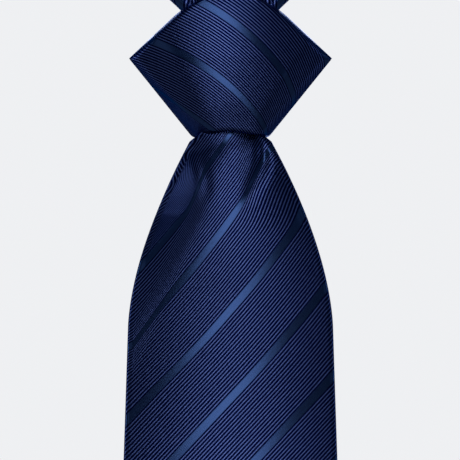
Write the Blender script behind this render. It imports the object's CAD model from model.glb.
"""Looks of the necktie: folded silk, wrapped knot, linings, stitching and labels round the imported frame."""
import math

import bmesh
import bpy
import numpy as np
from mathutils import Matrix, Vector


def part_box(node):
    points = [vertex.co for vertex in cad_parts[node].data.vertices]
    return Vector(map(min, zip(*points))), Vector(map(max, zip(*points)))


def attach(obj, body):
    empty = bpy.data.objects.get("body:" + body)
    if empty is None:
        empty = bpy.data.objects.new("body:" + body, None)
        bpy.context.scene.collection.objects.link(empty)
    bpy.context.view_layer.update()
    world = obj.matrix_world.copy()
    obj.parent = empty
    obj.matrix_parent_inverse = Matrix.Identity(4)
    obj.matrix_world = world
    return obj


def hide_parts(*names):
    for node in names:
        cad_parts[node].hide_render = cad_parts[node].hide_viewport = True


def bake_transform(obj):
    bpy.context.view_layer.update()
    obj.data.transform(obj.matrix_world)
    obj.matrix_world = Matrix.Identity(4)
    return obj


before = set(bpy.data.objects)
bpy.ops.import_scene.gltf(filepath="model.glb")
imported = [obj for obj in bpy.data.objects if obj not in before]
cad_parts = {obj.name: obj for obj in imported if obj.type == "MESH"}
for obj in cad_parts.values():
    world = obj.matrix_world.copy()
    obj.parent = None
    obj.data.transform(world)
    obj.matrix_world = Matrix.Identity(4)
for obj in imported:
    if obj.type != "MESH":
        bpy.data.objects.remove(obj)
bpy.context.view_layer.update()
MM = 0.001

# ------------------------------------------------------------------ places and sizes, in millimetres
# knot: V runs from 0 at its bottom to 1 at its top, with the corners and the top arch's start between
KNOT_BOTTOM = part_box("knot_front_band")[0].z / MM
KNOT_BOTTOM_W = 12.0
KNOT_BOTTOM_DEPTH = 8.0
KNOT_DEPTH = 12.0
KNOT_MID_Y = -57.0
CORNER_W = 32.3
CORNER_H = 25.2
CORNER_V = 0.55
ARCH_V = 0.72
ARCH_R = 27.0
SHOULDER_ANGLE = math.radians(43)
ARCH_W = ARCH_R * math.sin(SHOULDER_ANGLE)
ARCH_START_H = CORNER_H + (CORNER_W - ARCH_W) * math.tan(SHOULDER_ANGLE)
WRAP_T = 2.0
LAYER = 2.4

# panels: L is a length below the knot, and GATHER the share of the width drawn in at the knot
BLADE_FRONT_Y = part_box("blade_shell")[0].y / MM
BLADE_BACK_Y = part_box("blade_shell")[1].y / MM
BLADE_L = KNOT_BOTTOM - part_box("blade_shell")[0].z / MM
BLADE_W = (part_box("blade_shell")[1].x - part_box("blade_shell")[0].x) / MM
BLADE_ROOT_W = 60.0
BLADE_GATHER = 0.605
TIPPING_L = 94.0
TAIL_FRONT_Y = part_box("tail_shell")[0].y / MM
TAIL_BACK_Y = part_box("tail_shell")[1].y / MM
TAIL_L = KNOT_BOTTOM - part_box("tail_shell")[0].z / MM
TAIL_W = (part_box("tail_shell")[1].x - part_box("tail_shell")[0].x) / MM
TAIL_ROOT_W = 30.0
TAIL_GATHER = 0.34
TAIL_THROAT_L = 32.0
TAIL_TIPPING_L = 56.0
TOP_INSIDE_KNOT = 2.5
GATHER_L = 60.0
SEAM_GAP = 0.12
STITCH_STEP = 14.0

NECK_R = 64.0
NECK_BAND_H = 36.0
NECK_TILT = math.radians(28)
NECK_BAND_T = 2.6
GUSSET_HALF_ARC = math.radians(120)
STRAND_END_W = 16.0
STRAND_GAP = 0.2
STRAND_ENTRY = (8.2, -54.0, -60.5)
STRAND_ENTRY_DIRECTION = (-0.5, -0.12, -0.86)
FLOOR_GAP = 45.0

PLY = 0.45
THREAD_R = 0.2

# weave: ribs at an angle to the cloth's length, and a satin stripe every so many ribs,
# with one stripe's place across the ribs given on the blade and on the knot's front band
RIB_ANGLE = math.radians(47)
RIB_PITCH = 0.955
RIBS_PER_STRIPE = 20
STRIPE_W = 2.35
STRIPE_SPACING = RIB_PITCH * RIBS_PER_STRIPE
BEAD_PITCH = 0.36
BLADE_STRIPE = 18.0
BAND_STRIPE = 2.3
RIB_SIN = math.sin(RIB_ANGLE)
RIB_COS = math.cos(RIB_ANGLE)
WEAVE_SCALE = 0.01

# colours of the silk: its ribs' valleys and crests, and its satin stripes' shaded and bright threads
RIB_VALLEY = (0.0002, 0.0016, 0.024)
RIB_CREST = (0.080, 0.120, 0.33)
SATIN_SHADE = (0.004, 0.011, 0.045)
SATIN_BRIGHT = (0.027, 0.054, 0.150)
SILK_TINT = (0.35, 0.5, 1.0, 1)


def smooth(x):
    """A step from 0 to 1 with smooth ends."""
    x = np.clip(x, 0, 1)
    return x * x * (3 - 2 * x)


def bump(x, centre, width):
    """A bell of height 1."""
    return np.exp(-(((x - centre) / width) ** 2))


def bent(x, width):
    """A ramp with a smooth start: nearly flat below zero, and as steep as x above it."""
    return (np.sqrt(x**2 + width**2) + x - width) / 2


def run_lengths(points):
    """Distances along a line of points, from its first point."""
    return np.concatenate([[0], np.cumsum(np.linalg.norm(np.diff(points, axis=0), axis=1))])


# ------------------------------------------------------------------ mesh building
def add_mesh(name, points, faces, weave=None):
    """A smooth mesh object from points in millimetres, with each point's place in the weave as its UV."""
    me = bpy.data.meshes.new(name)
    me.from_pydata((np.asarray(points, float) * MM).tolist(), [], faces)
    if weave is not None:
        layer = me.uv_layers.new(name="Weave")
        corner = np.zeros(len(me.loops), np.int32)
        me.loops.foreach_get("vertex_index", corner)
        uv = np.asarray(weave, np.float32).reshape(-1, 2)[corner] * WEAVE_SCALE
        layer.data.foreach_set("uv", np.ascontiguousarray(uv, np.float32).ravel())
    me.polygons.foreach_set("use_smooth", [True] * len(me.polygons))
    me.update()
    ob = bpy.data.objects.new(name, me)
    bpy.context.scene.collection.objects.link(ob)
    return ob


def apply_modifiers(ob, crisp=math.radians(50)):
    """Applies the modifiers, and keeps edges sharper than the crisp angle from being shaded smooth."""
    done = bpy.data.meshes.new_from_object(ob.evaluated_get(bpy.context.evaluated_depsgraph_get()))
    ob.modifiers.clear()
    old = ob.data
    ob.data = done
    bpy.data.meshes.remove(old)
    ob.data.name = ob.name
    bm = bmesh.new()
    bm.from_mesh(done)
    for edge in bm.edges:
        edge.smooth = edge.calc_face_angle(0.0) < crisp
    bm.to_mesh(done)
    bm.free()


def grid_faces(rows, cols, first=0, flip=False):
    """The quads of a grid of points whose numbers start at first."""
    faces = []
    for r in range(rows - 1):
        for c in range(cols - 1):
            a = first + r * cols + c
            quad = (a, a + 1, a + 1 + cols, a + cols)
            faces.append(quad[::-1] if flip else quad)
    return faces


def sheet_mesh(name, grid, weave, thickness):
    """One ply of cloth: the grid is its outer face, and its thickness goes inward."""
    rows, cols = grid.shape[:2]
    ob = add_mesh(name, grid.reshape(-1, 3), grid_faces(rows, cols), weave)
    solid = ob.modifiers.new("ply", "SOLIDIFY")
    solid.thickness = thickness * MM
    solid.offset = -1
    apply_modifiers(ob)
    return ob


def closed_mesh(name, outer, inner, weave):
    """A closed body between two grids that meet along their borders."""
    rows, cols = outer.shape[:2]
    faces = grid_faces(rows, cols) + grid_faces(rows, cols, rows * cols, flip=True)
    points = np.concatenate([outer.reshape(-1, 3), inner.reshape(-1, 3)])
    flat = weave.reshape(-1, 2)
    ob = add_mesh(name, points, faces, np.concatenate([flat, flat]))
    weld = ob.modifiers.new("weld", "WELD")
    weld.merge_threshold = 2e-6
    apply_modifiers(ob)
    return ob


def tube_points(path, radius, sides=8):
    """Rings round a path of points, and the faces of the closed tube through them."""
    path = np.asarray(path, float)
    tangent = np.gradient(path, axis=0)
    tangent /= np.linalg.norm(tangent, axis=1)[:, None]
    rough = np.array([0.1, 0.2, 1.0])
    side = np.cross(tangent, rough)
    side /= np.linalg.norm(side, axis=1)[:, None]
    up = np.cross(side, tangent)
    taper = np.ones(len(path))
    taper[[0, -1]] = 0.35
    angle = np.arange(sides) * 2 * math.pi / sides
    ring = np.cos(angle)[None, :, None] * side[:, None] + np.sin(angle)[None, :, None] * up[:, None]
    points = path[:, None] + radius * taper[:, None, None] * ring
    faces = []
    for r in range(len(path) - 1):
        for c in range(sides):
            a, b = r * sides + c, r * sides + (c + 1) % sides
            faces.append((a, b, b + sides, a + sides))
    faces.append(tuple(range(sides))[::-1])
    faces.append(tuple(range((len(path) - 1) * sides, len(path) * sides)))
    return points.reshape(-1, 3), faces


def threads(name, paths, radius):
    """Short lengths of sewing thread as one object."""
    points, faces, count = [], [], 0
    for path in paths:
        ring_points, ring_faces = tube_points(path, radius)
        points.append(ring_points)
        faces += [tuple(i + count for i in face) for face in ring_faces]
        count += len(ring_points)
    return add_mesh(name, np.concatenate(points), faces)


def to_weave(across, along):
    """Cloth coordinates (across and along the tie) turned to (across the ribs, along the ribs)."""
    return np.stack([across * RIB_SIN + along * RIB_COS, across * RIB_COS - along * RIB_SIN], -1)


# ------------------------------------------------------------------ materials
def node_tree(name, roughness, metallic=0.0, sheen=0.0, specular=0.5):
    """A new material, its node tree and its shader."""
    mat = bpy.data.materials.new(name)
    mat.use_nodes = True
    nt = mat.node_tree
    bsdf = nt.nodes["Principled BSDF"]
    bsdf.inputs["Roughness"].default_value = roughness
    bsdf.inputs["Metallic"].default_value = metallic
    bsdf.inputs["Sheen Weight"].default_value = sheen
    bsdf.inputs["Specular IOR Level"].default_value = specular
    return mat, nt, bsdf


def math_node(nt, operation, *values):
    node = nt.nodes.new("ShaderNodeMath")
    node.operation = operation
    for socket, value in zip(node.inputs, values):
        if isinstance(value, (int, float)):
            socket.default_value = value
        else:
            nt.links.new(value, socket)
    return node.outputs[0]


def mix_node(nt, kind, factor, a, b):
    """A mix of two colours (kind RGBA) or two numbers (kind FLOAT)."""
    node = nt.nodes.new("ShaderNodeMix")
    node.data_type = kind
    word = "Color" if kind == "RGBA" else "Float"
    sockets = {s.identifier: s for s in node.inputs}
    for key, value in (("Factor_Float", factor), ("A_" + word, a), ("B_" + word, b)):
        if isinstance(value, bpy.types.NodeSocket):
            nt.links.new(value, sockets[key])
        else:
            sockets[key].default_value = (*value, 1) if kind == "RGBA" else value
    return next(s for s in node.outputs if s.identifier == "Result_" + word)


def weave_axes(nt):
    """Millimetres across the ribs and along them, from the piece's weave map."""
    uv = nt.nodes.new("ShaderNodeUVMap")
    uv.uv_map = "Weave"
    split = nt.nodes.new("ShaderNodeSeparateXYZ")
    nt.links.new(uv.outputs[0], split.inputs[0])
    return [math_node(nt, "MULTIPLY", split.outputs[i], 1 / WEAVE_SCALE) for i in (0, 1)]


def wave(nt, value, pitch, phase=0.0):
    """A wave from 0 to 1 with its crest at whole pitches."""
    turns = math_node(nt, "MULTIPLY_ADD", value, 2 * math.pi / pitch, phase)
    return math_node(nt, "MULTIPLY_ADD", math_node(nt, "COSINE", turns), 0.5, 0.5)


def smooth_step(nt, value, low, high):
    node = nt.nodes.new("ShaderNodeMapRange")
    node.interpolation_type = "SMOOTHSTEP"
    nt.links.new(value, node.inputs[0])
    node.inputs[1].default_value = low
    node.inputs[2].default_value = high
    return node.outputs[0]


def noise(nt, scale):
    place = nt.nodes.new("ShaderNodeTexCoord")
    node = nt.nodes.new("ShaderNodeTexNoise")
    node.inputs["Scale"].default_value = scale
    node.inputs["Detail"].default_value = 2.0
    nt.links.new(place.outputs["Object"], node.inputs["Vector"])
    return node.outputs[0]


def relief(nt, bsdf, height, distance, strength):
    """Bumps the surface by up to a distance in millimetres."""
    node = nt.nodes.new("ShaderNodeBump")
    node.inputs["Distance"].default_value = distance * MM
    node.inputs["Strength"].default_value = strength
    nt.links.new(height, node.inputs["Height"])
    nt.links.new(node.outputs[0], bsdf.inputs["Normal"])


def silk_material():
    """Navy silk: fine blue ribs on a near-black ground, crossed by satin stripes."""
    mat, nt, bsdf = node_tree("navy_ribbed_silk", 0.4, metallic=1.0)
    bsdf.inputs["Specular Tint"].default_value = SILK_TINT
    across, along = weave_axes(nt)
    rib = wave(nt, across, RIB_PITCH)
    stripe_edge = 0.5 + 0.5 * math.cos(math.pi * STRIPE_W / STRIPE_SPACING)
    stripe = smooth_step(nt, wave(nt, across, STRIPE_SPACING), stripe_edge - 0.010, stripe_edge + 0.004)
    beads = wave(nt, along, BEAD_PITCH)
    grain = noise(nt, 1500.0)
    ridge = smooth_step(nt, rib, 0.48, 1.0)
    ridge = math_node(nt, "MULTIPLY", ridge, math_node(nt, "MULTIPLY_ADD", beads, 0.25, 0.75))
    ridge = math_node(nt, "MULTIPLY", ridge, math_node(nt, "MULTIPLY_ADD", grain, 0.7, 0.65))
    ground = mix_node(nt, "RGBA", ridge, RIB_VALLEY, RIB_CREST)
    satin_light = math_node(nt, "MULTIPLY_ADD", beads, 0.3, 0.7)
    satin = mix_node(nt, "RGBA", satin_light, SATIN_SHADE, SATIN_BRIGHT)
    colour = mix_node(nt, "RGBA", stripe, ground, satin)
    nt.links.new(colour, bsdf.inputs["Base Color"])
    roughness = mix_node(nt, "FLOAT", stripe, 0.34, 0.22)
    nt.links.new(roughness, bsdf.inputs["Roughness"])
    height = math_node(nt, "MULTIPLY_ADD", beads, 0.12, rib)
    flat = math_node(nt, "MULTIPLY_ADD", beads, 0.12, 0.5)
    relief(nt, bsdf, mix_node(nt, "FLOAT", stripe, height, flat), 0.07, 0.6)
    return mat


def cloth_material(name, light, dark, pitch, roughness, sheen=0.2, lift=0.08):
    """A plain weave of two tones, with its threads along the weave map's axes."""
    mat, nt, bsdf = node_tree(name, roughness, sheen=sheen, specular=0.3)
    across, along = weave_axes(nt)
    over = math_node(nt, "MULTIPLY", wave(nt, across, pitch), wave(nt, along, pitch))
    half_turn = math.pi
    under = math_node(
        nt, "MULTIPLY", wave(nt, across, pitch, half_turn), wave(nt, along, pitch, half_turn)
    )
    woven = math_node(nt, "ADD", over, under)
    mixed = math_node(nt, "MULTIPLY_ADD", noise(nt, 400.0), 0.5, woven)
    colour = mix_node(nt, "RGBA", smooth_step(nt, mixed, 0.1, 1.3), dark, light)
    nt.links.new(colour, bsdf.inputs["Base Color"])
    relief(nt, bsdf, woven, lift, 0.7)
    return mat


def thread_material():
    mat, nt, bsdf = node_tree("twisted_thread", 0.45, sheen=0.3)
    place = nt.nodes.new("ShaderNodeTexCoord")
    twist = nt.nodes.new("ShaderNodeTexWave")
    twist.bands_direction = "DIAGONAL"
    twist.inputs["Scale"].default_value = 900.0
    nt.links.new(place.outputs["Object"], twist.inputs["Vector"])
    colour = mix_node(nt, "RGBA", twist.outputs["Fac"], (0.02, 0.035, 0.13), (0.07, 0.11, 0.33))
    nt.links.new(colour, bsdf.inputs["Base Color"])
    return mat


SILK = silk_material()
CANVAS = cloth_material("wool_canvas", (0.72, 0.66, 0.55), (0.45, 0.40, 0.32), 0.9, 0.9, 0.3)
LINING = cloth_material("lining_cloth", (0.03, 0.045, 0.13), (0.006, 0.01, 0.04), 0.5, 0.45)
TAPE = cloth_material("label_tape", (0.06, 0.08, 0.18), (0.02, 0.026, 0.08), 0.5, 0.4)
THREAD = thread_material()


def finish_piece(ob, material, *nodes, body=None):
    """Gives a piece its material and slot, the nodes it stands for, and the body it rides on."""
    ob.data.materials.clear()
    ob.data.materials.append(material)
    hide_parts(*nodes)
    if body:
        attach(ob, body)


# ------------------------------------------------------------------ folded panels: blade and tail
class Panel:
    """A folded tie panel that hangs from the knot: its outline, its front face and its back face."""

    def __init__(self, length, width, root_w, gather, front_y, back_y, tack_h, hem, open_w):
        self.length, self.width, self.root_w, self.gather = length, width, root_w, gather
        self.front_y, self.back_y = front_y, back_y
        self.tack_h, self.hem, self.open_w = tack_h, hem, open_w
        self.shoulder = length - width / 2

    def half_w(self, d):
        """Half the panel's width at a depth below the knot."""
        d = np.asarray(d, float)
        flat = (self.root_w + (self.width - self.root_w) * d / self.shoulder) / 2
        drawn = 1 - self.gather * np.clip(1 - np.maximum(d, 0) / GATHER_L, 0, 1) ** 1.75
        sides = flat * drawn * (1 - 0.17 * smooth((1.5 - d) / 2.5))
        return np.where(d > self.shoulder, np.minimum(self.length - d, sides), sides)

    def lift(self, x, d):
        """How far the front face stands in front of the flat panel."""
        return np.zeros(np.broadcast(x, d).shape)

    def thickness(self, d):
        pressed = np.clip((self.length - d) / 14, 0.25, 1)
        return (self.back_y - self.front_y) * pressed

    def front(self, x, d):
        return self.front_y - self.lift(x, d)

    def back(self, x, d):
        """The back face follows the front's folds near the knot, and lies flat below them."""
        follow = 0.7 * (1 - smooth((d - 30) / 60))
        return self.front_y - self.lift(x, d) * follow + self.thickness(d)

    def across(self, x, d):
        """How much cloth lies between the centre line and x."""
        return x

    def flap_edge(self, d):
        """Distance of the back flaps' free edges from the centre line, open below the bar tack."""
        apex = self.length - self.tack_h
        hem_tip = self.length - self.hem * math.sqrt(2)
        low = hem_tip - self.open_w
        if d < apex:
            return SEAM_GAP
        if d < low:
            return SEAM_GAP + (self.open_w - SEAM_GAP) * (d - apex) / (low - apex)
        return max(SEAM_GAP, hem_tip - d)

    def depths(self, top, fine):
        """Depths of the panel's sections, fine near the knot and towards the tip."""
        near = np.arange(top, GATHER_L, fine)
        straight = np.arange(GATHER_L, self.shoulder - 1, 3.0)
        tip = self.length - np.geomspace(self.length - self.shoulder, 0.3, 34)
        return np.concatenate([near, straight, tip])


class Blade(Panel):
    """The front blade, drawn together under the knot with a fold to its left and a groove to its right."""

    def fold_x(self, d):
        """The line left of which the cloth turns away, from the knot down to the left edge."""
        return -9.6 - 0.473 * np.maximum(d - 24.6, 0)

    def ridge_x(self, d):
        """The ridge of the left-hand fold, left of which the cloth falls away steeply."""
        return -14.3 + 2.9 * smooth((d - 3) / 13) - 0.83 * bent(d - 18.5, 3)

    def lift(self, x, d):
        near = np.maximum(d, 0)
        w = self.half_w(near)
        fade = smooth((d + 1) / 6)
        pop = 3.6 * smooth((d + 8) / 32) * (1 - smooth((d - 20) / 80))
        crown = (1.0 + 2.6 * (1 - smooth((d - 60) / 160))) * (1 - (x / w) ** 2)
        crown = crown * (0.5 + 0.5 * smooth((d + 2) / 24))
        turned = -0.50 * bent(self.fold_x(d) - x, 2.5) * (1 - smooth((d - 22) / 50)) * fade
        steep = -0.60 * bent(self.ridge_x(d) - x, 1.2) * (1 - smooth((d - 34) / 20)) * fade
        ridge = 0.2 * bump(x, self.ridge_x(d) - 0.8, 1.6) * (1 - smooth((d - 10) / 18)) * fade
        hollow = -0.4 * bump(x, self.ridge_x(d) + 3.2, 1.8) * (1 - smooth((d - 12) / 18)) * fade
        groove_x = 10 - 0.5 * bent(near - 8, 3) - 0.1 * bent(8 - near, 3)
        groove_w = np.where(x < groove_x, 1.8, 2.6)
        dimple = -2.1 * bump(x, groove_x, groove_w) * (1 - smooth((d - 7) / 16)) * fade
        right = -0.38 * bent(x - 10.6 - 0.45 * near, 2.8) * (1 - smooth((d - 18) / 22)) * fade
        tilt = bent(3.0 - 0.75 * near - x, 1.5) - bent(-9.0 - 0.75 * near - x, 3.0)
        under_lip = -0.26 * tilt * (1 - smooth((d - 2) / 14)) * fade
        return pop + crown + turned + steep + ridge + hollow + dimple + right + under_lip

    def thickness(self, d):
        return super().thickness(d) + 1.2 * smooth((40 - d) / 40) * smooth((d + 2) / 10)

    def across(self, x, d):
        gathered = np.where(x < 0, 0.42, 0.27)
        spread = 1 + gathered * np.clip(1 - np.maximum(d, 0) / 80, 0, 1) ** 1.2
        tucked = 6.5 * smooth((self.fold_x(d) + 3 - x) / 8) * smooth((d - 4) / 12)
        sunk = 4.0 * smooth((x - 2) / 7) * (1 - smooth((d - 6) / 26))
        drawn = 0.8 * bent(self.ridge_x(d) - x, 1.0) * (1 - smooth((d - 30) / 16))
        return x * spread - tucked * (1 - smooth((d - 60) / 60)) + sunk - drawn


class Tail(Panel):
    """The narrow tail, only slightly crowned."""

    def lift(self, x, d):
        return 0.35 * (1 - (x / self.half_w(np.maximum(d, 0))) ** 2)


blade = Blade(
    BLADE_L, BLADE_W, BLADE_ROOT_W, BLADE_GATHER, BLADE_FRONT_Y, BLADE_BACK_Y, tack_h=75, hem=9, open_w=25
)
tail = Tail(
    TAIL_L, TAIL_W, TAIL_ROOT_W, TAIL_GATHER, TAIL_FRONT_Y, TAIL_BACK_Y, tack_h=48, hem=5, open_w=11
)


def panel_section(panel, d, front_steps, back_steps, bend_steps=9):
    """Points (x, y) at one depth, from the left flap's free edge by the front to the right one."""
    half = float(panel.half_w(d))
    t = float(panel.thickness(d))
    r = min(t / 2, half * 0.45)
    turn = np.linspace(0, math.pi, bend_steps)[1:-1]
    x_front = (half - r) * np.sin(np.linspace(-math.pi / 2, math.pi / 2, front_steps)) * 0.35
    x_front += 0.65 * np.linspace(-(half - r), half - r, front_steps)
    inner = min(panel.flap_edge(d), half - r)
    x_back = np.linspace(half - r, inner, back_steps)
    front = panel.front(x_front, d)
    rim_r = float(panel.front(half - r, d))
    rim_l = float(panel.front(-(half - r), d))
    share = smooth((half - r - x_back) / 8)
    back_r = (rim_r + t) * (1 - share) + panel.back(x_back, d) * share
    back_l = (rim_l + t) * (1 - share) + panel.back(-x_back, d) * share
    bend_x = half - r + r * np.sin(turn)
    bend_y = t / 2 - t / 2 * np.cos(turn)
    return np.concatenate(
        [
            np.stack([-x_back, back_l], -1)[::-1],
            np.stack([-bend_x, rim_l + bend_y], -1)[::-1],
            np.stack([x_front, front], -1),
            np.stack([bend_x, rim_r + bend_y], -1),
            np.stack([x_back, back_r], -1),
        ]
    )


def panel_grid(panel, depths, stripe=0.0, pinch=0.0, front_steps=61, back_steps=14):
    """The panel's outer face as a grid of points, and its weave map, with its stripes pinched at the top."""
    points, weave = [], []
    bend_points = 7
    first = back_steps + bend_points
    last = first + front_steps
    for d in depths:
        section = panel_section(panel, d, front_steps, back_steps)
        arc = run_lengths(section)
        across = np.array(panel.across(section[:, 0], d), float)
        across[:first] = across[first] - (arc[first] - arc[:first])
        across[last:] = across[last - 1] + (arc[last:] - arc[last - 1])
        points.append(np.column_stack([section, np.full(len(section), KNOT_BOTTOM - d)]))
        pair = to_weave(across, np.full(len(section), d)) - np.array([stripe, 0])
        drawn = np.tanh((pair[:, 0] + STRIPE_SPACING) / 1.2) + np.tanh(pair[:, 0] / 1.2)
        pair[:, 0] += pinch * drawn * (1 - smooth((d - 14) / 16))
        weave.append(pair)
    return np.array(points), np.array(weave)


def filling(name, panel, depths, inset, front_gap, back_gap, steps=31):
    """A pad between the panel's faces, inset from its edges."""
    outer, inner, weave = [], [], []
    for i, d in enumerate(depths):
        half = max(float(panel.half_w(d)) - inset, 0.05)
        x = np.linspace(-half, half, steps)
        front = panel.front(x, d) + front_gap
        back = panel.back(x, d) - back_gap
        back = np.maximum(back, front + 0.08)
        edge = np.minimum(half - np.abs(x), 1.2) / 1.2
        end = min(1.0, i / 2, (len(depths) - 1 - i) / 2)
        open_share = np.sqrt(np.clip(edge, 0, 1)) * end
        middle = (front + back) / 2
        z = np.full(steps, KNOT_BOTTOM - d)
        outer.append(np.column_stack([x, middle + (front - middle) * open_share, z]))
        inner.append(np.column_stack([x, middle + (back - middle) * open_share, z]))
        weave.append(np.column_stack([x, z]))
    return closed_mesh(name, np.array(outer), np.array(inner), np.array(weave))


def seam_stitches(panel, depths):
    """Threads that cross the centre seam at a slant, bowed over the two folded edges."""
    paths = []
    for d in depths:
        x = np.linspace(-1.6, 1.6, 9)
        y = panel.back(x, d) + 0.28 - 0.35 * (x / 1.6) ** 4
        paths.append(np.column_stack([x, y, KNOT_BOTTOM - d + 0.35 * x]))
    return paths


def tack_threads(panel, d, width, radius):
    """Five threads side by side across the seam, pulled in at their ends."""
    paths = []
    for k in range(-2, 3):
        x = np.linspace(-width / 2, width / 2, 11)
        lift = radius * (1.5 - 1.9 * np.abs(2 * x / width) ** 6)
        z = np.full(len(x), KNOT_BOTTOM - d + 1.9 * radius * k)
        paths.append(np.column_stack([x, panel.back(x, d) + lift, z]))
    return paths


def blend_blade(ob):
    """The stretch under the knot bends between the knot and the swinging blade."""
    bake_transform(ob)


def blend_tail(ob):
    """The tail's upper stretch is drawn up as the tail slides."""
    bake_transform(ob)


def build_blade_shell(depths):
    grid, weave = panel_grid(blade, depths, stripe=BLADE_STRIPE, pinch=0.9)
    shell = sheet_mesh("blade_shell_silk", grid, weave, PLY)
    finish_piece(shell, SILK, "blade_shell")
    blend_blade(shell)


def build_blade_filling(depths):
    """The canvas inside the blade, and the lining at its tip."""
    inside = depths[(depths > -1) & (depths < BLADE_L - 2)]
    pad = filling("blade_interlining_canvas", blade, inside, inset=0.9, front_gap=0.6, back_gap=1.1)
    finish_piece(pad, CANVAS, "blade_interlining")
    blend_blade(pad)
    low = depths[(depths > BLADE_L - TIPPING_L - 2) & (depths < BLADE_L - 3)]
    lining = filling("blade_tipping_cloth", blade, low, inset=1.2, front_gap=1.95, back_gap=0.55)
    finish_piece(lining, LINING, "blade_tipping", body="blade")


def build_blade_threads():
    """The slip stitches, which leave out the label's and the keeper's places, and the bar tack."""
    rows = [*np.arange(12, 209, STITCH_STEP), 250, 264, 294, 308, 322]
    stitches = threads("blade_slip_stitches", seam_stitches(blade, rows), THREAD_R)
    finish_piece(stitches, THREAD, "blade_slip_stitch")
    blend_blade(stitches)
    radius = 0.33
    paths = tack_threads(blade, BLADE_L - blade.tack_h - 3, width=8, radius=radius)
    tack = threads("blade_bar_tack_threads", paths, radius)
    finish_piece(tack, THREAD, "blade_bar_tack", body="blade")


def build_blade():
    depths = blade.depths(-TOP_INSIDE_KNOT, 1.0)
    build_blade_shell(depths)
    build_blade_filling(depths)
    build_blade_threads()


def build_tail_shell(depths):
    """The tail's throat next to the knot, and its envelope below the throat."""
    rows = np.append(np.arange(-TOP_INSIDE_KNOT, TAIL_THROAT_L + 0.5, 1.0), TAIL_THROAT_L)
    grid, weave = panel_grid(tail, rows, front_steps=29, back_steps=10)
    throat = sheet_mesh("tail_throat_silk", grid, weave, PLY)
    finish_piece(throat, SILK, "tail_throat")
    blend_blade(throat)
    grid, weave = panel_grid(tail, depths, front_steps=29, back_steps=10)
    shell = sheet_mesh("tail_shell_silk", grid, weave, PLY)
    finish_piece(shell, SILK, "tail_shell")
    blend_tail(shell)


def build_tail_filling(depths):
    """The canvas inside the tail, and the lining at its tip."""
    inside = depths[depths < TAIL_L - 2]
    pad = filling("tail_interlining_canvas", tail, inside, inset=0.8, front_gap=0.6, back_gap=1.0, steps=19)
    finish_piece(pad, CANVAS, "tail_interlining")
    blend_tail(pad)
    low = depths[(depths > TAIL_L - TAIL_TIPPING_L - 2) & (depths < TAIL_L - 3)]
    lining = filling("tail_tipping_cloth", tail, low, inset=1.0, front_gap=1.7, back_gap=0.5, steps=19)
    finish_piece(lining, LINING, "tail_tipping", body="tail")


def build_tail_threads():
    stitch_radius, tack_radius = 0.17, 0.19
    rows = np.arange(68, 265, STITCH_STEP)
    stitches = threads("tail_slip_stitches", seam_stitches(tail, rows), stitch_radius)
    finish_piece(stitches, THREAD, "tail_slip_stitch")
    blend_tail(stitches)
    paths = tack_threads(tail, TAIL_L - tail.tack_h - 3, width=5, radius=tack_radius)
    tack = threads("tail_bar_tack_threads", paths, tack_radius)
    finish_piece(tack, THREAD, "tail_bar_tack", body="tail")


def build_tail():
    depths = tail.depths(TAIL_THROAT_L, 1.5)
    build_tail_shell(depths)
    build_tail_filling(depths)
    build_tail_threads()


# ------------------------------------------------------------------ knot
def knot_size(v, inset):
    """Half width, height and half depth of the knot's section at v, from its bottom (0) to its top (1)."""
    v = np.asarray(v, float)
    low = np.clip(v / CORNER_V, 0, 1)
    side = np.clip((v - CORNER_V) / (ARCH_V - CORNER_V), 0, 1)
    turn = np.clip((v - CORNER_V) / (1 - CORNER_V), 0, 1)
    angle = SHOULDER_ANGLE * (1 - np.clip((v - ARCH_V) / (1 - ARCH_V), 0, 1))
    in_w = 1 + (np.sin(angle) - 1) * side
    in_h = np.cos(angle) * side
    shoulder_w = CORNER_W + (ARCH_W - CORNER_W) * side
    shoulder_h = CORNER_H + (ARCH_START_H - CORNER_H) * side
    arch_h = ARCH_START_H + ARCH_R * (np.cos(angle) - math.cos(SHOULDER_ANGLE))
    w = np.where(v < ARCH_V, shoulder_w, ARCH_R * np.sin(angle))
    w = np.where(v < CORNER_V, KNOT_BOTTOM_W + (CORNER_W - KNOT_BOTTOM_W) * low, w)
    h = np.where(v < CORNER_V, CORNER_H * low, np.where(v < ARCH_V, shoulder_h, arch_h))
    w, h = w - inset * in_w, h - inset * in_h
    rounded = (low + np.sin(math.pi / 2 * low)) / 2
    swell = KNOT_BOTTOM_DEPTH + (KNOT_DEPTH - KNOT_BOTTOM_DEPTH) * rounded
    deep = np.where(v < CORNER_V, swell, KNOT_DEPTH * np.sqrt(np.clip(1 - turn**3.5, 0, 1)))
    return w, h, np.maximum(deep - inset, 0.3)


def left_turn(h):
    """The line on the knot's front left of which the cloth starts to turn away."""
    return -5.5 - 0.56 * (h - 2.2)


def left_crease(h):
    """The crease on the knot's front from its left corner to its lower lip."""
    return -5.5 - 26.8 * (h - 0.6) / 24.6


def right_fold(h):
    """The line on the knot's front right of which the cloth turns away."""
    return 9.4 + 0.65 * bent(h - 6, 3)


def front_depth(x, w, h, deep):
    """Depth of the knot's front at x, where its section is w wide to each side and deep at most.

    It is round, turns away to the left, drops at the left crease and folds away at the right.
    """
    round_x = x - bent(x - right_fold(h), 1.2) + 2
    front = deep - round_x**2 / np.where(x < -2, 170, 130)
    front -= 0.40 * bent(left_turn(h) - x, 5.0)
    front -= 0.9 * bent(left_crease(h) - x, 0.7)
    front -= 0.72 * bent(x - right_fold(h), 0.8)
    front = 0.15 * deep + bent(front - 0.15 * deep, 1.0)
    edge = np.clip((w - np.abs(x)) / 3.5, 0, 1)
    return front * np.sqrt(1 - (1 - edge) ** 2)


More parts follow.
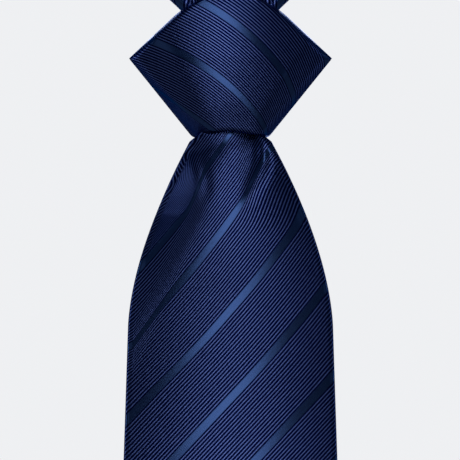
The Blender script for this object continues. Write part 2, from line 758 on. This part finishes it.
def shape_lip(points):
    """Lifts the middle of the front's lower edge, and drops its left end."""
    x, h = points[..., 0], points[..., 2] - KNOT_BOTTOM
    forward = np.maximum(KNOT_MID_Y - points[..., 1], 0)
    lip = 1.7 * bump(x, -0.5, 8.5) - 1.1 * smooth((-x - 8) / 4)
    shaped = points.copy()
    shaped[..., 2] += lip * smooth(1 - h / 12) * smooth(forward / 4)
    return shaped


def knot_point(u, v, inset):
    """A point on the knot: u turns from the front (0) by +X (90) to the back (180), in degrees."""
    power = 0.85
    w, h, deep = knot_size(v, inset)
    s, c = np.sin(np.radians(u)), np.cos(np.radians(u))
    x = w * np.sign(s) * np.abs(s) ** power
    y = KNOT_MID_Y + np.where(c > 0, -front_depth(x, w, h, deep), deep * np.abs(c) ** power)
    return shape_lip(np.stack(np.broadcast_arrays(x, y, KNOT_BOTTOM + h), -1))


def patch_grid(u_range, v_range, inset, thick, size, roll):
    """The two faces of a wrap on the knot, which meet in rounded edges all round."""
    steps = [0.5 - 0.5 * np.cos(np.linspace(0, math.pi, n)) for n in size]
    steps = [0.4 * s + 0.6 * np.linspace(0, 1, len(s)) for s in steps]
    tu, tv = np.meshgrid(*steps)
    u = u_range[0] + (u_range[1] - u_range[0]) * tu
    v = v_range[0] + (v_range[1] - v_range[0]) * tv
    middle = knot_point(u, v, inset + thick / 2)
    span_u = np.linalg.norm(np.diff(middle, axis=1), axis=2).sum(1)[:, None]
    span_v = np.linalg.norm(np.diff(middle, axis=0), axis=2).sum(0)[None]
    edge = np.minimum(np.minimum(tu, 1 - tu) * span_u, np.minimum(tv, 1 - tv) * span_v)
    close = 1 - np.sqrt(1 - (1 - np.clip(edge / roll, 0, 1)) ** 2)
    outer = knot_point(u, v, inset + thick / 2 * close)
    inner = knot_point(u, v, inset + thick - thick / 2 * close)
    return outer, inner, u


def surface_place(grid, u):
    """Distances on a wrap's face from the knot's centre line (across) and from its bottom (up)."""
    step = np.linalg.norm(np.diff(grid, axis=1), axis=2)
    across = np.concatenate([np.zeros((len(grid), 1)), np.cumsum(step, axis=1)], 1)
    middle = np.abs(u[0]).argmin() if u[0, 0] < 0 < u[0, -1] else u.shape[1] // 2
    across = across - across[:, middle : middle + 1]
    up = grid[..., 2] - KNOT_BOTTOM
    return across, up


def build_band():
    """The last wrap, across the front of the knot, whose cloth runs round a far centre below it."""
    outer, inner, u = patch_grid((-104, 104), (0, 0.965), 0, WRAP_T, (121, 96), 1.6)
    across, up = surface_place(outer, u)
    centre_x, centre_h, far_r, pack = 10.0, -52.0, 77.0, 0.84
    turn = np.arctan2(across * 0.97 - centre_x, up - centre_h)
    reach = np.hypot(across * 0.97 - centre_x, up - centre_h)
    along, away = far_r * turn, reach - far_r
    weave = to_weave(along, away) / pack - np.array([BAND_STRIPE / pack, 0])
    crease = left_crease(outer[..., 2] - KNOT_BOTTOM)
    weave[..., 0] -= 1.1 * bent(crease - outer[..., 0], 0.8)
    band = closed_mesh("knot_front_band_silk", outer, inner, weave)
    finish_piece(band, SILK, "knot_front_band", body="knot")


def build_wraps():
    """The wraps behind and beside the front band: each has a span, a layer and a run of its cloth."""
    plan = {
        "knot_back_crossing": ((98, 262), (0.22, 0.60), 0.0, 12),
        "knot_left_shoulder": ((181.5, 264), (0.61, 0.95), 0.0, 50),
        "knot_right_shoulder": ((96, 178.5), (0.61, 0.95), 0.0, -50),
        "knot_left_wrap": ((182, 270), (0.02, 0.8), LAYER, 62),
        "knot_right_wrap": ((90, 178), (0.02, 0.8), LAYER, -62),
        "knot_blade_pass": ((-60, 60), (0.07, 0.8), LAYER, 90),
    }
    for node, (u_range, v_range, inset, run) in plan.items():
        outer, inner, u = patch_grid(u_range, v_range, inset, WRAP_T, (48, 36), 1.3)
        across, up = surface_place(outer, u)
        c, s = math.cos(math.radians(run)), math.sin(math.radians(run))
        weave = to_weave(across * c + up * s, up * c - across * s)
        ob = closed_mesh(node + "_silk", outer, inner, weave)
        finish_piece(ob, SILK, node, body="knot")


def build_core():
    """The crossings inside the knot, as a bundle of folds."""
    rows, cols = 20, 64
    v = np.linspace(0.1, 0.78, rows)[:, None]
    u = np.linspace(0, 360, cols, endpoint=False)[None]
    folds = 0.35 * np.cos(np.radians(u * 9 + 200 * v))
    grid = knot_point(u, v, 2 * LAYER + 0.5 + folds)
    faces = []
    for r in range(rows - 1):
        for k in range(cols):
            a, b = r * cols + k, r * cols + (k + 1) % cols
            faces.append((a, b, b + cols, a + cols))
    faces.append(tuple(range(cols))[::-1])
    faces.append(tuple(range((rows - 1) * cols, rows * cols)))
    place = np.stack([grid[..., 0] * 1.2, grid[..., 2]], -1)
    ob = add_mesh("knot_core_folds", grid.reshape(-1, 3), faces, place)
    finish_piece(ob, SILK, "knot_core", body="knot")


# ------------------------------------------------------------------ neck loop
def from_loop(points):
    """Turns points from the neck loop's own plane to the shared frame."""
    c, s = math.cos(NECK_TILT), math.sin(NECK_TILT)
    x, y, z = points[..., 0], points[..., 1], points[..., 2]
    return np.stack([x, y * c - z * s, y * s + z * c], -1)


def to_loop(point):
    """Turns a point from the shared frame to the neck loop's own plane."""
    c, s = math.cos(NECK_TILT), math.sin(NECK_TILT)
    return np.array([point[0], point[1] * c + point[2] * s, -point[1] * s + point[2] * c])


def band_section(width, thick, lap=0.35, bend_steps=9, flat_steps=19):
    """A folded band's outline (across, out), from one edge of its inner seam round to the other."""
    r = thick / 2
    turn = np.linspace(0, math.pi, bend_steps)
    reach = width / 2 - r
    inner_a = np.linspace(1.0, -reach, flat_steps)
    outer = np.linspace(-reach, reach, 2 * flat_steps)
    inner_b = np.linspace(reach, -1.0, flat_steps)
    half_l = np.stack([-reach - r * np.sin(turn), -r * np.cos(turn)], -1)
    half_r = np.stack([reach + r * np.sin(turn), r * np.cos(turn)], -1)
    lower = np.full(flat_steps, -r)
    lapped = -r - lap * smooth((6 - np.abs(inner_b)) / 5) * (inner_b < 6)
    return np.concatenate(
        [
            np.stack([inner_a, lower + 0.15 * smooth((inner_a + 6) / 5)], -1),
            half_l[1:-1],
            np.stack([outer, np.full(len(outer), r)], -1),
            half_r[1:-1],
            np.stack([inner_b, lapped], -1),
        ]
    )


def sweep_band(name, centres, across, out, widths, thicks, pleats):
    """A folded band of silk along a path, with its directions, width, thickness and pleats at each step."""
    points, weave = [], []
    along = run_lengths(centres)
    for i, centre in enumerate(centres):
        section = band_section(widths[i], thicks[i])
        arc = run_lengths(section)
        rise = section[:, 1] * (1 + pleats[i] * np.cos(section[:, 0] / widths[i] * 18.0))
        ring = centre + section[:, :1] * across[i] + rise[:, None] * out[i]
        points.append(from_loop(ring))
        weave.append(to_weave(arc, np.full(len(arc), along[i])))
    return sheet_mesh(name, np.array(points), np.array(weave), PLY)


def build_gusset():
    angle = np.linspace(-GUSSET_HALF_ARC, GUSSET_HALF_ARC, 121) + math.pi / 2
    ones = np.ones(len(angle))
    mid_r = NECK_R + NECK_BAND_T / 2
    out = np.stack([np.cos(angle), np.sin(angle), 0 * ones], -1)
    across = np.tile([0.0, 0.0, 1.0], (len(angle), 1))
    widths, thicks = NECK_BAND_H * ones, NECK_BAND_T * ones
    band = sweep_band("neck_gusset_silk", mid_r * out, across, out, widths, thicks, pleats=0 * ones)
    finish_piece(band, SILK, "neck_gusset", body="root")
    build_neck_canvas(angle)


def build_neck_canvas(angle):
    """The canvas inside the gusset, rounded off along its edges and closed at its ends."""
    high = np.linspace(-NECK_BAND_H / 2 + 0.9, NECK_BAND_H / 2 - 0.9, 15)
    turn = np.stack(np.broadcast_arrays(np.cos(angle)[:, None], np.sin(angle)[:, None], high), -1)
    near = turn * np.array([NECK_R + 0.7, NECK_R + 0.7, 1])
    far = turn * np.array([NECK_R + NECK_BAND_T - 0.7, NECK_R + NECK_BAND_T - 0.7, 1])
    middle = (near + far) / 2
    share = np.sqrt(np.clip(np.minimum(high - high[0], high[-1] - high) / 1.2, 0, 1))[None, :, None]
    ends = np.ones((len(angle), 1, 1))
    ends[[0, -1]] = 0
    outer = middle + (far - middle) * share * ends
    inner = middle + (near - middle) * share * ends
    place = np.stack(np.broadcast_arrays(angle[:, None] * NECK_R, high), -1)
    pad = closed_mesh("neck_interlining_canvas", from_loop(outer), from_loop(inner), place)
    finish_piece(pad, CANVAS, "neck_interlining", body="root")


def strand_path(steps):
    """Centres, across and outward directions of the right-hand strand, in the neck loop's plane."""
    mid_r = NECK_R + STRAND_GAP + NECK_BAND_T / 2
    open_angle = math.pi - GUSSET_HALF_ARC
    along = np.array([-math.cos(open_angle), -math.sin(open_angle), 0])
    start = mid_r * np.array([math.sin(open_angle), -math.cos(open_angle), 0]) + along
    entry = to_loop(STRAND_ENTRY)
    entry_dir = to_loop(STRAND_ENTRY_DIRECTION)
    entry_dir /= np.linalg.norm(entry_dir)
    p = [start, start + 36 * along, entry - 18 * entry_dir, entry]
    entry_across = np.cross(entry_dir, to_loop([0.15, -1, 0]))
    entry_across /= np.linalg.norm(entry_across)
    centres, across, out, shares = [], [], [], []
    for s in np.linspace(0, 1, steps):
        q = 1 - s
        centre = q**3 * p[0] + 3 * s * q * q * p[1] + 3 * s * s * q * p[2] + s**3 * p[3]
        tangent = q * q * (p[1] - p[0]) + 2 * s * q * (p[2] - p[1]) + s * s * (p[3] - p[2])
        tangent /= np.linalg.norm(tangent)
        share = s * s * (3 - 2 * s)
        rough = np.array([0, 0, 1]) * (1 - share) + entry_across * share
        side = rough - tangent * rough.dot(tangent)
        side /= np.linalg.norm(side)
        centres.append(centre)
        across.append(side)
        out.append(np.cross(side, tangent))
        shares.append(s)
    for k in range(1, 5):
        centres.append(entry + entry_dir * 2.2 * k)
        across.append(across[-1])
        out.append(out[-1])
        shares.append(1.0)
    return [np.array(a) for a in (centres, across, out, shares)]


def build_strands():
    centres, across, out, shares = strand_path(48)
    widths = NECK_BAND_H + (STRAND_END_W - NECK_BAND_H) * shares
    widths[-4:] -= np.array([1.0, 2.5, 4.5, 6.5])
    thicks = NECK_BAND_T + 1.6 * shares**2
    pleats = 0.28 * smooth((shares - 0.45) / 0.5)
    for node, mirror in (("tail_strand", 1), ("blade_strand", -1)):
        flip = np.array([mirror, 1, 1])
        path = [a * flip for a in (centres, across, out)]
        ob = sweep_band(node + "_silk", *path, widths, thicks, pleats)
        if mirror < 0:
            ob.data.flip_normals()
        finish_piece(ob, SILK, node)
        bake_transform(ob)


def dress_seams():
    """The gusset's seams keep their CAD shape and get the thread's material."""
    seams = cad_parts["gusset_seams"]
    seams.data.materials.clear()
    seams.data.materials.append(THREAD)


# ------------------------------------------------------------------ keeper loop and labels
def keeper_outline(half_w, half_d, corner=1.5, step=1.2):
    """The keeper's closed outline (x, y) seen from above, with points at short steps."""
    corners = []
    for sx, sy, start in ((1, -1, -90), (1, 1, 0), (-1, 1, 90), (-1, -1, 180)):
        centre = np.array([sx * (half_w - corner), sy * (half_d - corner)])
        for a in np.radians(np.linspace(start, start + 90, 7)):
            corners.append(centre + corner * np.array([math.cos(a), math.sin(a)]))
    corners.append(corners[0])
    dense = []
    for a, b in zip(corners, corners[1:]):
        steps = max(1, int(math.dist(a, b) / step))
        dense += [a + (b - a) * k / steps for k in range(steps)]
    return np.array([*dense, corners[0]])


def build_keeper():
    lo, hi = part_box("keeper_loop")
    mid = (lo + hi) / 2 / MM
    half_w, half_d, half_h = ((high - low) / 2 / MM for low, high in zip(lo, hi))
    outline = keeper_outline(half_w, half_d)
    arc = run_lengths(outline)
    heights = (-1, -0.97, -0.9, -0.6, -0.3, 0, 0.3, 0.6, 0.9, 0.97, 1.0)
    tucks = (0.3, 0.12, 0, 0, 0.03, 0.05, 0.03, 0, 0, 0.12, 0.3)
    centre = outline[:-1].mean(0)
    points, weave = [], []
    for share, tuck in zip(heights, tucks):
        ring = centre + (outline - centre) * (1 - tuck * 0.4 / np.array([half_w, half_d]))
        level = np.full(len(arc), share * half_h)
        points.append(np.column_stack([ring[:, 0] + mid.x, ring[:, 1] + mid.y, mid.z + level]))
        weave.append(to_weave(arc, level))
    ob = sheet_mesh("keeper_loop_silk", np.array(points), np.array(weave), 0.42)
    finish_piece(ob, SILK, "keeper_loop", body="blade")
    build_keeper_stitches(half_w, half_h, mid.z)


def build_keeper_stitches(half_w, half_h, mid_z):
    """Five short stitches at each end of the keeper."""
    paths = []
    for side in (-1, 1):
        for k in range(5):
            z = mid_z + (k - 2) * half_h * 0.42
            x = np.linspace(-1.3, 1.1, 9)
            y = BLADE_BACK_Y + 0.35 + 0.5 * smooth(-x / 1.3) - 0.5 * smooth(x / 1.1)
            paths.append(np.column_stack([side * (half_w + 0.3 + x), y, z + 0.25 * x]))
    stitches = threads("keeper_stitch_threads", paths, THREAD_R)
    finish_piece(stitches, THREAD, "keeper_stitches", body="blade")


def build_label(node, curl):
    """A blank woven tape on the blade's back, slightly uneven, with curled edges."""
    lo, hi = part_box(node)
    width, high = (hi.x - lo.x) / MM, (hi.z - lo.z) / MM
    mid_x, mid_z = (hi.x + lo.x) / 2 / MM, (hi.z + lo.z) / 2 / MM
    x = np.linspace(-width / 2, width / 2, 41)
    z = np.linspace(-high / 2, high / 2, 21)
    gx, gz = np.meshgrid(x, z)
    near = np.minimum(width / 2 - np.abs(gx), high / 2 - np.abs(gz))
    y = hi.y / MM + 0.12 * np.sin(gx / width * 9) * np.cos(gz / high * 3)
    y += curl * smooth(1 - near / 2.0)
    grid = np.stack([mid_x + gx, y, mid_z + gz], -1)
    ob = sheet_mesh(node + "_tape", grid, np.stack([gx, gz], -1), 0.3)
    finish_piece(ob, TAPE, node, body="blade")


# ------------------------------------------------------------------ stage, light and camera
def area_light(name, place, target, size, power, colour=(1, 1, 1)):
    """A rectangular light of a size in metres and a power in watts, turned to its target."""
    data = bpy.data.lights.new(name, "AREA")
    data.shape = "RECTANGLE"
    data.size, data.size_y = size
    data.energy = power
    data.color = colour
    ob = bpy.data.objects.new(name, data)
    ob.location = place
    ob.rotation_euler = (Vector(target) - Vector(place)).to_track_quat("-Z", "Y").to_euler()
    bpy.context.scene.collection.objects.link(ob)


def build_floor():
    """A pale round floor below the tip, which looks brighter than the light it gives back."""
    floor_z = (KNOT_BOTTOM - BLADE_L - FLOOR_GAP) * MM
    radius, sides = 3.0, 64
    turn = np.arange(sides) * 2 * math.pi / sides
    ring = [(radius * math.cos(a), radius * math.sin(a), floor_z) for a in turn]
    me = bpy.data.meshes.new("floor")
    me.from_pydata(ring, [], [tuple(range(sides))])
    ob = bpy.data.objects.new("floor", me)
    bpy.context.scene.collection.objects.link(ob)
    mat, nt, bsdf = node_tree("pale_floor", 0.9, specular=0.05)
    colour = mix_node(nt, "RGBA", noise(nt, 3.0), (0.33, 0.334, 0.343), (0.36, 0.364, 0.374))
    nt.links.new(colour, bsdf.inputs["Base Color"])
    nt.links.new(colour, bsdf.inputs["Emission Color"])
    path = nt.nodes.new("ShaderNodeLightPath")
    glow = math_node(nt, "MULTIPLY", path.outputs["Is Camera Ray"], 1.75)
    nt.links.new(glow, bsdf.inputs["Emission Strength"])
    me.materials.append(mat)


def build_world():
    """A pale surround that lights the object only dimly."""
    world = bpy.data.worlds.new("pale_surround")
    bpy.context.scene.world = world
    world.use_nodes = True
    nt = world.node_tree
    nt.nodes.clear()
    out = nt.nodes.new("ShaderNodeOutputWorld")
    seen = nt.nodes.new("ShaderNodeBackground")
    seen.inputs["Color"].default_value = (0.86, 0.87, 0.89, 1)
    light = nt.nodes.new("ShaderNodeBackground")
    light.inputs["Color"].default_value = (0.55, 0.75, 1.0, 1)
    light.inputs["Strength"].default_value = 0.13
    path = nt.nodes.new("ShaderNodeLightPath")
    mix = nt.nodes.new("ShaderNodeMixShader")
    nt.links.new(path.outputs["Is Camera Ray"], mix.inputs[0])
    nt.links.new(light.outputs[0], mix.inputs[1])
    nt.links.new(seen.outputs[0], mix.inputs[2])
    nt.links.new(mix.outputs[0], out.inputs["Surface"])


def build_camera():
    """Straight on to the knot, as near as the field of 145 mm needs."""
    field, distance, face_y = 0.1449, 1.0, -0.066
    data = bpy.data.cameras.new("camera")
    data.sensor_width = 36
    data.lens = 36 * distance / field
    data.clip_start = 0.05
    data.clip_end = 20
    cam = bpy.data.objects.new("camera", data)
    cam.location = (-0.00016, face_y - distance, (KNOT_BOTTOM - 29.3) * MM)
    cam.rotation_euler = (math.pi / 2, 0, 0)
    bpy.context.scene.collection.objects.link(cam)
    bpy.context.scene.camera = cam


def build_lights():
    aim = (0, -0.06, -0.14)
    area_light("key", (-0.01, -1.2, 0.0), aim, (0.42, 2.6), 8.4)
    area_light("side_left", (-1.15, 0.22, -0.1), aim, (0.3, 0.8), 1.8, (1.0, 0.98, 0.95))
    area_light("side_right", (1.15, 0.25, -0.1), aim, (0.3, 0.8), 1.0, (0.8, 0.88, 1.0))
    area_light("fill_left", (-0.95, -0.80, -0.1), aim, (0.5, 1.2), 0.45)
    area_light("fill_right", (0.95, -0.80, -0.1), aim, (0.5, 1.2), 0.25, (0.8, 0.88, 1.0))
    area_light("top", (0.0, -0.2, 1.5), aim, (1.4, 1.0), 9.0)
    area_light("back", (0.0, 1.15, 0.3), aim, (0.6, 1.8), 10.0)


build_camera()
build_blade()
build_tail()
build_band()
build_wraps()
build_core()
build_gusset()
build_strands()
build_keeper()
build_label("maker_label", curl=-0.08)
build_label("care_label", curl=0.1)
dress_seams()
build_floor()
build_world()
build_lights()
bpy.context.scene.view_settings.view_transform = "Standard"
